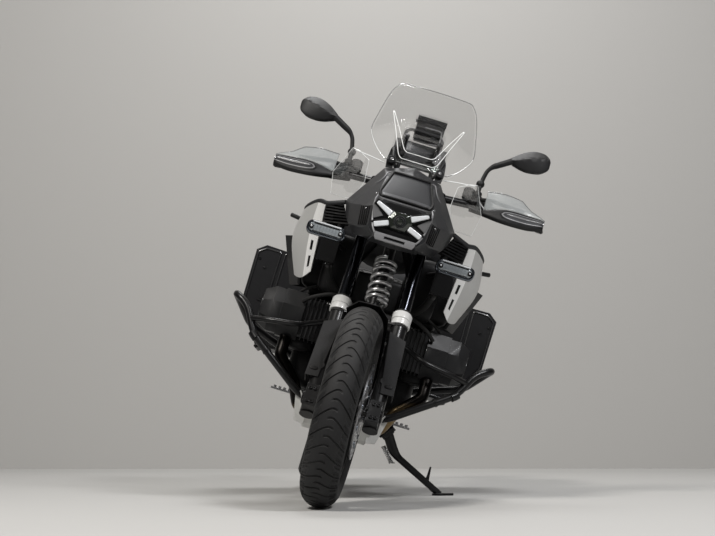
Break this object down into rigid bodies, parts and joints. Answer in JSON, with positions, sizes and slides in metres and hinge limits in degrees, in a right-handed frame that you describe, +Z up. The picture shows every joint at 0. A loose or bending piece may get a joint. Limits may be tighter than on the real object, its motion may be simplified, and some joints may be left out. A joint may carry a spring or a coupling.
{
  "type": "adventure motorcycle",
  "caption": "Touring motorcycle with flat opposed cylinders, arm-guided front fork, crash bars, hand guards, screen and hinged side cases, leaning on its side stand.",
  "frame": {"origin": "on the floor, under the middle of the leaning machine", "axes": "+Y from the front wheel to the back wheel, +X to the machine's own left (the side stand side), +Z up from the floor"},
  "size_m": [1.123, 2.204, 1.4622],
  "materials": {
    "frame_black": "satin black paint",
    "engine_grey": "dark grey coated casting",
    "cover_grey": "satin dark grey coating",
    "black_plastic": "grained black",
    "guard_aluminium": "brushed, light grey",
    "header_steel": "heat tinted, pale gold",
    "silencer_steel": "satin",
    "tank_dark": "dark grey paint",
    "white_panel": "off-white paint",
    "dark_panel": "dark grey",
    "lamp_glass": "clear lens over a dark housing",
    "gloss_dark": "smoked, glossy",
    "clear_screen": "clear moulded sheet",
    "lamp_metal": "dark bezel with a clear lens",
    "bar_black": "satin black coating",
    "seat_cover": "grained black cover",
    "red_lens": "red lens",
    "shock_metal": "silver",
    "peg_metal": "dull steel",
    "case_black": "satin black powder coat",
    "tyre": "matt black",
    "rim_black": "gloss black",
    "disc_steel": "ground ring",
    "fork_black": "satin black",
    "collar_white": "off-white",
    "fork_chrome": "dark polished",
    "guard_grey": "dark grey",
    "caliper_metal": "dark anodised",
    "control_rubber": "black"
  },
  "bodies": {
    "chassis": {"main_frame": "frame_black", "rear_subframe": "frame_black", "crankcase": "engine_grey", "cylinders": "cover_grey", "airbox": "black_plastic", "skid_plate": "guard_aluminium", "exhaust_pipes": "header_steel", "silencer": "silencer_steel", "fuel_tank": "tank_dark", "side_panels": "white_panel", "side_covers": "dark_panel", "radiator_grilles": "black_plastic", "nose_fairing": "dark_panel", "headlight": "lamp_glass", "nose_screen": "gloss_dark", "windshield": "clear_screen", "wind_deflectors": "clear_screen", "cockpit_display": "black_plastic", "fog_lamps": "lamp_metal", "crash_bars": "bar_black", "rider_seat": "seat_cover", "pillion_seat": "seat_cover", "luggage_rack": "frame_black", "tail_lamp": "red_lens", "rear_mudguard": "black_plastic", "swingarm": "engine_grey", "rear_shock": "shock_metal", "wishbone": "frame_black", "front_shock": "shock_metal", "footrests": "peg_metal", "stand_bracket": "frame_black", "pannier_boxes": "case_black"},
    "steering": {"fork_lower": "fork_black", "fork_collars": "collar_white", "fork_upper": "fork_chrome", "front_mudguard": "black_plastic", "fork_guards": "guard_grey", "front_calipers": "caliper_metal", "handlebar": "bar_black", "hand_controls": "control_rubber", "hand_guards": "black_plastic", "mirrors": "black_plastic"},
    "stand": {"side_stand": "bar_black"},
    "left_lid": {"pannier_lid_left": "case_black"},
    "right_lid": {"pannier_lid_right": "case_black"},
    "rear_wheel": {"rear_tyre": "tyre", "rear_rim": "rim_black", "rear_disc": "disc_steel"},
    "front_wheel": {"front_tyre": "tyre", "front_rim": "rim_black", "front_discs": "disc_steel"}
  },
  "joints": [
    {"name": "steering_head", "type": "hinge", "parent": "chassis", "child": "steering", "pos_m": [0.04175, -0.35175, 1.05045], "axis": [0.2623, 0.4417, 0.8579], "range_deg": [-31, 41]},
    {"name": "front_wheel_spin", "type": "hinge", "parent": "steering", "child": "front_wheel", "pos_m": [-0.18664, -0.77802, 0.31638], "axis": [0.9639, -0.0783, -0.2544], "continuous": true},
    {"name": "rear_wheel_spin", "type": "hinge", "parent": "chassis", "child": "rear_wheel", "pos_m": [-0.18508, 0.73983, 0.30826], "axis": [0.9563, -0.0001, -0.2924], "continuous": true},
    {"name": "side_stand_fold", "type": "hinge", "parent": "chassis", "child": "stand", "pos_m": [-0.00981, 0.01381, 0.23186], "axis": [0.7729, -0.0167, 0.6343], "range_deg": [0, 78]},
    {"name": "left_lid_hinge", "type": "hinge", "parent": "chassis", "child": "left_lid", "pos_m": [0.22695, 0.60184, 0.33918], "axis": [0, 1, -0.0003], "range_deg": [0, 80]},
    {"name": "right_lid_hinge", "type": "hinge", "parent": "chassis", "child": "right_lid", "pos_m": [-0.5094, 0.6019, 0.5643], "axis": [0, -1, 0.0003], "range_deg": [0, 80]}
  ]
}
